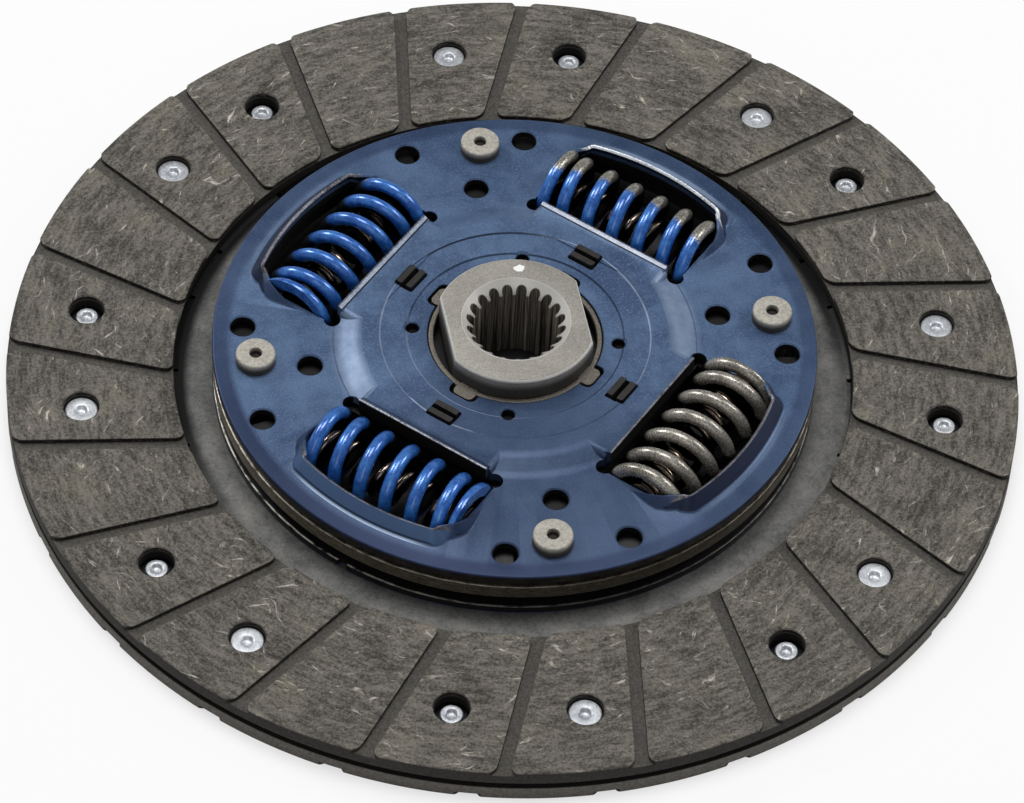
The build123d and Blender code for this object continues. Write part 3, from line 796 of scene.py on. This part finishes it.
def lining(fixing, passing, inner_angle, skew):
    """A lining with its back at z = 0: blocks between skew grooves, and sunk rivet seats."""
    back = [(LINING_INNER, 0), (LINING_OUTER, 0, 0.2)]
    face = [(LINING_OUTER, LINING_THICK, 0.35), (LINING_INNER, LINING_THICK, 0.35)]
    ring = lathe(back + face, 360)

    # A groove's outline: its sides flare out to the rims with rounded corners.
    near = Vector((LINING_INNER, 0))
    near.rotate(Matrix.Rotation(radians(inner_angle), 2))
    far = Vector((LINING_OUTER, 0))
    far.rotate(Matrix.Rotation(radians(inner_angle - skew), 2))
    along = (far - near).normalized()
    side = Vector((-along.y, along.x))
    corners = []
    for end, out, sign in ((near, -1, -1), (far, 1, -1), (far, 1, 1), (near, -1, 1)):
        radial = end.normalized()
        tangent = Vector((-radial.y, radial.x))
        foot = end + side * GROOVE_WIDTH / 2 * sign
        foot -= along * (foot - end).dot(radial) / along.dot(radial)
        wide = foot + tangent * 3.2 * sign + radial * out * 0.2
        points = [(*foot, 2.2), (*wide,), (*(wide + radial * out * 4),)]
        corners += points[::-1] if out == sign else points
    groove = prism(corners, GROOVE_FLOOR, 6)

    mouth = [(3.8, 3.2), (4.8, 4.2), (0, 4.2)]
    seat = lathe([(0, -1), (2.0, -1), (2.0, 1.0), (3.8, 1.0), *mouth], 32)
    through = lathe([(0, -1), (3.8, -1), *mouth], 32)
    return combined(
        ring,
        around(groove, [15 * n for n in range(24)]),
        around(seat, fixing, RIVET_CIRCLE),
        around(through, passing, RIVET_CIRCLE),
    )


front = lining(FRONT_RIVETS, REAR_RIVETS, 83.3, 5.5)
piece_for("front_lining", move(front, z=FRONT_LINING_BACK), "plates", lining_look)
rear = lining([-a for a in REAR_RIVETS], [-a for a in FRONT_RIVETS], -79.6, -5.5)
turn(rear, 180, "X")
piece_for("rear_lining", move(rear, z=LINING_THICK), "plates", lining_look)

head = [(0, 6.3), (0.75, 6.45, 0.2), (1.35, 7.2, 0.3), (3.45, 7.2, 0.3), (3.45, 6.1)]
shank = [(2.0, 6.1), (2.0, 3.9), (2.4, 3.9), (2.4, 2.3), (0, 2.3)]
rivets = around(lathe(head + shank, 40), FRONT_RIVETS, RIVET_CIRCLE)
piece_for("lining_rivets_front", rivets, "plates", rivet_look)

head = [(0, 1.4), (3.45, 1.4), (3.45, 2.5)]
shank = [(2.0, 2.5), (2.0, 4.7), (2.4, 4.7), (2.4, 6.3, 0.3), (1.3, 6.3, 0.3), (0.8, 5.6, 0.2), (0, 5.5)]
rivets = around(lathe(head + shank, 36), REAR_RIVETS, RIVET_CIRCLE)
piece_for("lining_rivets_rear", rivets, "plates", rivet_look)


# ---------------------------------------------------------------- damper plates


def windows(inner, outer, low, high):
    """Cutters for the spring windows, with straight sides and an arc on the outside."""
    opening = disc_part(outer, [(-1, 0, -inner), (0, 1, WINDOW_HALF), (0, -1, WINDOW_HALF)])
    return around(raised(opening, low, high), WINDOWS)


def double_d(low, high):
    """The hub's body: round, with two flats."""
    return raised(disc_part(HUB_RADIUS, [(1, 0, HUB_FLAT), (-1, 0, HUB_FLAT)], 160), low, high)


def outer_lip(face, height, lean, sheet, up=1):
    """The hood along a window's outer edge: it wraps round both corners and runs out beside them."""
    length = sqrt(lean * lean + height * height)
    tip = (LIP_CREASE - lean, face + up * height)
    under = (tip[0] - sheet * height / length, tip[1] - up * sheet * lean / length)
    low = face - up * 1.6
    points = [
        (LIP_CREASE + 0.6, face - up * 0.1),
        (LIP_CREASE, face + up * 0.15, 0.3),
        (*tip, 0.2),
        (*under, 0.15),
        (under[0] + 1.3, under[1] - up * 1.7),
        (57.2, low),
        (LIP_CREASE + 0.6, low),
    ]
    bend = 3.8
    corner = Vector((LIP_CREASE - bend, 0, 0))
    half = degrees(asin((WINDOW_HALF - bend) / (LIP_CREASE - bend)))
    bm = ring_of(bmesh.new(), points)
    turn(bm, -half)
    first = bm.verts[:] + bm.edges[:]
    about = {"axis": (0, 0, 1), "dvec": (0, 0, 0), "use_merge": False}
    last = bmesh.ops.spin(bm, geom=first, cent=(0, 0, 0), angle=radians(2 * half), steps=72, **about)["geom_last"]

    # Each step of a run-out is 1.8 mm long, drifts sideways and keeps a share of the lip's height.
    run_out = ((1.4, 0.97), (0.9, 0.86), (0, 0.66), (-0.3, 0.44), (-0.4, 0.22), (-0.4, 0.03))
    for geom, hand in ((last, 1), (first, -1)):
        at = corner.copy()
        at.rotate(Matrix.Rotation(radians(hand * half), 3, "Z"))
        swing = hand * radians(90 - half)
        geom = bmesh.ops.spin(bm, geom=geom, cent=at, angle=swing, steps=12, **about)["geom_last"]
        beside, size = WINDOW_HALF, 1
        for drift, share in run_out:
            edges = [g for g in geom if isinstance(g, bmesh.types.BMEdge)]
            geom = bmesh.ops.extrude_edge_only(bm, edges=edges)["geom"]
            verts = [g for g in geom if isinstance(g, bmesh.types.BMVert)]
            geom = verts + [g for g in geom if isinstance(g, bmesh.types.BMEdge)]
            beside += drift
            bmesh.ops.translate(bm, vec=(-1.8, hand * drift, 0), verts=verts)
            crease = Matrix.Translation((0, -hand * beside, -face))
            bmesh.ops.scale(bm, vec=(1, share / size, share / size), space=crease, verts=verts)
            size = share
    return close(bm)


# The front plate: crowned in two steps, and flat along each window's inner lip.
low, high = FRONT_PLATE
plate = lathe(
    [
        (18.6, 17.8, 0.25),
        (22.8, 17.8),
        (23.1, 18.1),
        (28.5, 18.1),
        (28.8, 18.4),
        (33.0, 18.4, 1.2),
        (CROWN_FOOT, high, 1.2),
        (PLATE_RADIUS, high, 0.45),
        (PLATE_RADIUS, low, 0.15),
        (36.6, low),
        (32.3, 16.4),
        (28.1, 16.4),
        (27.8, 16.1),
        (22.4, 16.1),
        (22.1, 15.8),
        (18.6, 15.8, 0.2),
    ],
    PLATE_STEPS,
)
shoulder = bar(27.5, 34, 33.4, 16.6, 18.37)
ends = [e for e in shoulder.edges if all(v.co.z > 18 for v in e.verts) and e.verts[0].co.y * e.verts[1].co.y > 0]
soften(shoulder, ends, 1.7, 6)
plate = combined(plate, around(shoulder, WINDOWS), operation="UNION")
holes = joined(
    around(rod(2.7, low, high, 0.3), OUTER_HOLES, OUTER_HOLE_CIRCLE),
    around(rod(2.7, low, high, 0.3), QUARTERS, INNER_HOLE_CIRCLE),
    around(rod(2.75, low, high), PINS, PIN_CIRCLE),
    around(rod(1.45, 15.8, 17.8, 0.2), SMALL_HOLES, SMALL_HOLE_CIRCLE),
)
reliefs = joined(*(around(move(rod(1.8, 13, 21), y=side * 18.1), WINDOWS, 34.5) for side in (1, -1)))
notches = around(bar(16, 21.0, 6.6, 13, 22, 1.5), WINDOWS)
slots = around(bar(24.5, 29.1, 6.4, 13, 22, 0.5), WINDOWS)
plate = combined(plate, windows(WINDOW_INNER, WINDOW_OUTER, 13, 22), reliefs, holes, notches, slots)
lips = around(outer_lip(high, 3.0, 2.2, 0.8), WINDOWS)
inner_lip = ring_of(bmesh.new(), [(33.1, 15.2), (33.1, 18.35), (34.25, 18.95, 0.1), (34.7, 18.9, 0.15), (34.7, 15.2)])
move(inner_lip, y=-16)
geom = bmesh.ops.extrude_edge_only(inner_lip, edges=inner_lip.edges[:])["geom"]
bmesh.ops.translate(inner_lip, vec=(0, 32, 0), verts=[g for g in geom if isinstance(g, bmesh.types.BMVert)])
close(inner_lip)
plate = combined(plate, lips, around(inner_lip, WINDOWS), operation="UNION")
piece_for("retainer_plate", plate, "plates", blue_look)

# The rear plate is flat, with slots for the support ring's tabs and a notch in its rim.
low, high = REAR_PLATE
plate = lathe([(19.4, low), (PLATE_RADIUS, low, 0.15), (PLATE_RADIUS, high, 0.4), (19.4, high)], PLATE_STEPS)
holes = joined(
    around(rod(2.0, low, high), OUTER_HOLES, OUTER_HOLE_CIRCLE),
    around(rod(2.7, low, high, 0.3), QUARTERS, INNER_HOLE_CIRCLE),
    around(rod(2.75, low, high), PINS, PIN_CIRCLE),
    around(bar(31.3, 33.1, 5.2, 3, 8), QUARTERS),
    around(rod(1.2, low, high), [225.4], PLATE_RADIUS),
)
plate = combined(plate, windows(WINDOW_INNER, WINDOW_OUTER, 3, 8), holes)
plate = combined(plate, around(outer_lip(low, 2.3, 1.7, 1.5, -1), WINDOWS), operation="UNION")
piece_for("drive_plate", plate, "plates", rear_blue_look)

# The flange fits on the hub's flats and has a slot round each stop pin.
low, high = FLANGE
flange = lathe([(14.9, low), (PLATE_RADIUS, low, 0.3), (PLATE_RADIUS, high, 0.3), (14.9, high)], PLATE_STEPS)
stops = around(lathe([(50.9, 8), (59.3, 8), (59.3, 15), (50.9, 15)], 24, -11.2, 22.4), QUARTERS)
flange = combined(flange, windows(33.9, 57.8, 8, 15), stops, double_d(8, 15))
piece_for("hub_flange", flange, "hub", flange_look)

dimple = [(0, 17.5), (1.1, 17.6), (1.4, 19.2, 0.15)]
head = [(4.2, 19.2, 0.5), (4.2, 16.4), (2.75, 16.4), (2.75, 14.4)]
shank = [(3.9, 14.4), (3.9, 6.5), (2.75, 6.5), (2.75, 3.9)]
tail = [(4.2, 3.9), (4.2, 2.3, 0.5), (0, 2.3)]
pins = around(lathe(dimple + head + shank + tail, 56), PINS, PIN_CIRCLE)
piece_for("stop_pins", pins, "plates", pin_look)


# ------------------------------------------------------------------------- hub

body = double_d(FLANGE[0], HUB_TOP)
soften(body, [e for e in body.edges if all(v.co.z > HUB_TOP - 0.1 for v in e.verts)], 0.8, 3)
foot = [(0, 0.4), (HUB_RADIUS, 0.4, 0.8), (HUB_RADIUS, 8.0)]
collar = [(20.0, 8.0, 0.3), (20.0, 9.7), (HUB_RADIUS, 9.7), (0, 9.7)]
hub = combined(body, lathe(foot + collar, 160), operation="UNION")

# The spline: a bore, 20 tooth spaces and a cone at each mouth.
bore = lathe([(0, -1), (SPLINE_MINOR, -1), (SPLINE_MINOR, 24), (0, 24)], 120)
half = [(7.9, 0.98), (9.9, 1.16, 0.4), (10.55, 0.55, 0.4)]
space = prism([(x, -y, *extra) for x, y, *extra in half] + half[::-1], -1, 24)
spaces = around(space, [18 * n for n in range(20)])
mouths = joined(
    lathe([(0, 20.5), (SPLINE_MINOR, 20.55), (12.5, 24.1), (0, 24.1)], 120),
    lathe([(0, -0.6), (12.5, -0.6), (SPLINE_MINOR, 2.95), (0, 2.95)], 120),
)
piece_for("hub", combined(hub, bore, spaces, mouths), "hub", hub_look)

bush = lathe([(17.3, 13.2), (24.3, 13.2), (24.3, 15.8), (18.4, 15.8), (18.4, 17.5, 0.25), (17.3, 17.5, 0.25)], 160)
bush = combined(bush, around(bar(16.9, 20.4, 4.8, 13.2, 17.5, 1.2), WINDOWS), operation="UNION")
piece_for("front_bush", bush, "plates", bush_look)

ring = lathe([(24.8, 13.2), (31.5, 13.2), (31.5, 14.3), (24.8, 14.3)], 160)
tabs = around(bar(24.9, 28.7, 5.6, 13.2, 19.0, 0.4), WINDOWS)
ring = combined(ring, tabs, operation="UNION")
ring = combined(ring, around(bar(26.25, 27.35, 8, 14.5, 20), WINDOWS))
piece_for("pressure_ring", ring, "plates", plastic_look)


# --------------------------------------------------------------------- springs


def coil(diameter, wire, pitch, steps, sides, hand):
    """A compression spring along Y with closed, ground ends."""
    grind = wire * 0.2
    closed = wire + 0.15
    open_turns = (SPRING_LENGTH + 2 * grind - 2 * closed) / pitch
    bm = bmesh.new()
    bmesh.ops.create_circle(bm, cap_ends=False, radius=wire / 2, segments=sides)
    move(bm, (diameter - wire) / 2, -grind - SPRING_LENGTH / 2)
    geom = bm.verts[:] + bm.edges[:]
    for turns, rise in ((1, closed), (open_turns, pitch), (1, closed)):
        count = round(turns * steps)
        geom = bmesh.ops.spin(
            bm,
            geom=geom,
            cent=(0, 0, 0),
            axis=(0, 1, 0),
            dvec=(0, turns * rise / count, 0),
            angle=hand * 2 * pi * turns,
            steps=count,
        )["geom_last"]
    close(bm)
    for side in (-1, 1):
        bmesh.ops.bisect_plane(
            bm,
            geom=bm.verts[:] + bm.edges[:] + bm.faces[:],
            dist=0.0001,
            plane_co=(0, side * SPRING_LENGTH / 2, 0),
            plane_no=(0, side, 0),
            clear_outer=True,
        )
    return close(bm)


for number, angle in enumerate(WINDOWS, 1):
    outer = coil(diameter=18.3, wire=2.85, pitch=6.4, steps=36, sides=24, hand=1)
    inner = coil(diameter=9.6, wire=1.9, pitch=4.7, steps=28, sides=14, hand=-1)
    for bm in (outer, inner):
        turn(move(bm, SPRING_CIRCLE, z=SPRING_HEIGHT), angle)
    look = ("plain_spring", plain_look) if number == 4 else ("blue_spring", spring_look)
    inner_slot = ("inner_spring", inner_look)
    made = [
        piece(outer, f"outer_spring_shown_{number}", "springs", *look, [f"outer_spring_{number}"]),
        piece(inner, f"inner_spring_shown_{number}", "springs", *inner_slot, [f"inner_spring_{number}"]),
    ]
    for spring in made:
        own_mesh(spring)


# ---------------------------------------------------- CAD nodes that are kept

kept = {
    "cushion_disc": cushion_look,
    "carrier_rivets": bare_look,
    "front_spring_washer": bare_look,
    "rear_bush": bare_look,
    "friction_ring": plastic_look,
    "support_ring": bare_look,
    "rear_spring_washer": bare_look,
}
for node, look in kept.items():
    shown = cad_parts[node]
    shown.data.materials.clear()
    shown.data.materials.append(look)


# ------------------------------------------------------------------ the studio

scene = bpy.context.scene
scene.view_settings.view_transform = "Standard"
world = bpy.data.worlds.new("studio")
scene.world = world
world.use_nodes = True
background = world.node_tree.nodes["Background"]
background.inputs["Color"].default_value = (1, 1, 1, 1)

# White to the camera and only a weak light on the disc, so that the lamps shape it.
AMBIENT = 0.21
seen = Out(world.node_tree).node("ShaderNodeLightPath", {})
world.node_tree.links.new((seen * (1 - AMBIENT) + AMBIENT).socket, background.inputs["Strength"])

# The floor takes shadows, is darker under the disc as painted shade, and turns to plain white to the camera away from
# the disc.
sheet = bmesh.new()
bmesh.ops.create_grid(sheet, x_segments=1, y_segments=1, size=3)
floor = as_object(sheet, "floor")
floor.location.z = -0.0002
ground = bpy.data.materials.new("floor")
ground.use_nodes = True
tree = ground.node_tree
white = Out(tree).node("ShaderNodeEmission", {"Color": (1, 1, 1, 1), "Strength": 1.0})
paper = tree.nodes["Principled BSDF"]
paper.inputs["Roughness"].default_value = 0.9
seen = Out(tree).node("ShaderNodeLightPath", {})
across = Out(tree).node("ShaderNodeTexCoord", {}, 3).scaled(1000, 1000, 0)
away = across.node("ShaderNodeVectorMath", {0: across}, 1, operation="LENGTH").step(95, 112)
# Painted shade: the floor darker under the disc.
tree.links.new(away.mix(rgb(90, 90, 92), (0.9, 0.9, 0.9, 1)).socket, paper.inputs["Base Color"])
blend = seen.node("ShaderNodeMixShader", {0: seen * away * 0.85, 1: Out(tree, paper.outputs[0]), 2: white})
tree.links.new(blend.socket, tree.nodes["Material Output"].inputs["Surface"])
floor.data.materials.append(ground)
floor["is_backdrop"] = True


def lamp(name, place, size, power):
    """A soft square light that looks at the origin."""
    data = bpy.data.lights.new(name, "AREA")
    data.size = size
    data.energy = power
    obj = bpy.data.objects.new(name, data)
    scene.collection.objects.link(obj)
    obj.location = place
    obj.rotation_euler = (Vector() - Vector(place)).to_track_quat("-Z", "Y").to_euler()


lamp("top", (0, 0.2, 1.2), 0.5, 6)
lamp("back", (-0.7, 0.8, 0.8), 0.3, 5)
lamp("side", (0.9, 0.1, 0.7), 0.35, 3)
lamp("fill", (-0.3, -0.9, 0.8), 0.6, 1)

# The camera as fitted to the photo: its angles, and its distance in metres from the middle of the front face.
TILT, SWING, ROLL = radians(49.388), radians(-13.5), radians(3.246)
DISTANCE = 1.1076
back = Vector((sin(SWING) * cos(TILT), -cos(SWING) * cos(TILT), sin(TILT)))
right = Vector((cos(SWING), sin(SWING), 0))
upward = back.cross(right)
side = cos(ROLL) * right + sin(ROLL) * upward
upward = cos(ROLL) * upward - sin(ROLL) * right
turned = Matrix((side, upward, back)).transposed().to_4x4()
camera = bpy.data.objects.new("camera", bpy.data.cameras.new("camera"))
scene.collection.objects.link(camera)
camera.matrix_world = Matrix.Translation(Vector((0, 0, FRONT_FACE * MM)) + back * DISTANCE) @ turned
camera.data.lens = 183.2
camera.data.sensor_width = 36
camera.data.shift_x = -0.0017
camera.data.shift_y = -0.037
scene.camera = camera

low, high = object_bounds()
